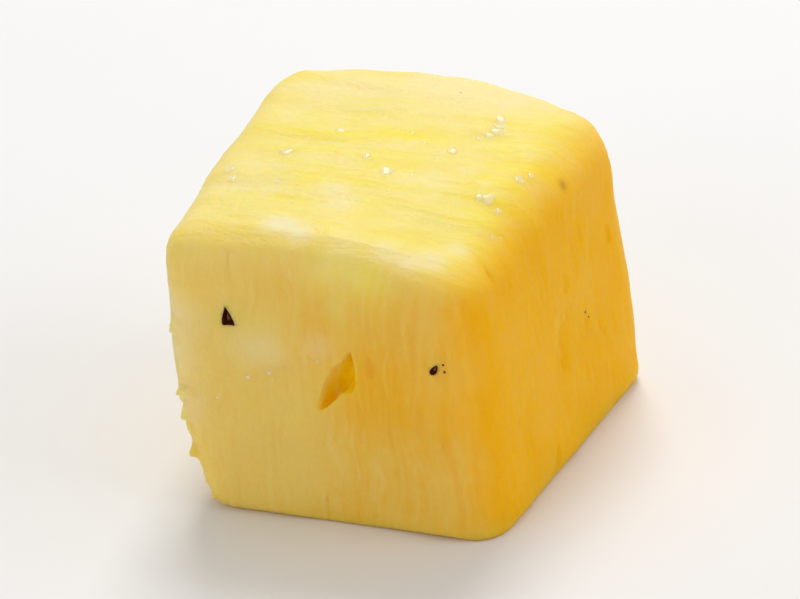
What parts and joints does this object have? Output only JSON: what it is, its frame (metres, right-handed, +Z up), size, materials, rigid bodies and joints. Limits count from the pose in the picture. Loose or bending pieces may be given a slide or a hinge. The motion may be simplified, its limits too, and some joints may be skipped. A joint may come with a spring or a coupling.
{
  "type": "pineapple chunk",
  "caption": "Rough cube of peeled pineapple flesh with a curved outer side, rounded edges, seed holes and a split in the front wall; a bite-sized piece of cut fruit that rests on its flat base.",
  "frame": {"origin": "middle of the flat base, under the middle of the chunk's box", "axes": "+Z up through the peeled side of the fruit; the front wall with the seed holes and the split faces -Y; the long axis of the fruit runs along Y"},
  "size_m": [0.0358, 0.0358, 0.0303],
  "materials": {
    "pineapple_flesh": "moist translucent yellow fruit flesh, paler and fibrous on the peeled side, wet with juice"
  },
  "bodies": {
    "root": {"pineapple_chunk": "pineapple_flesh"}
  },
  "joints": []
}
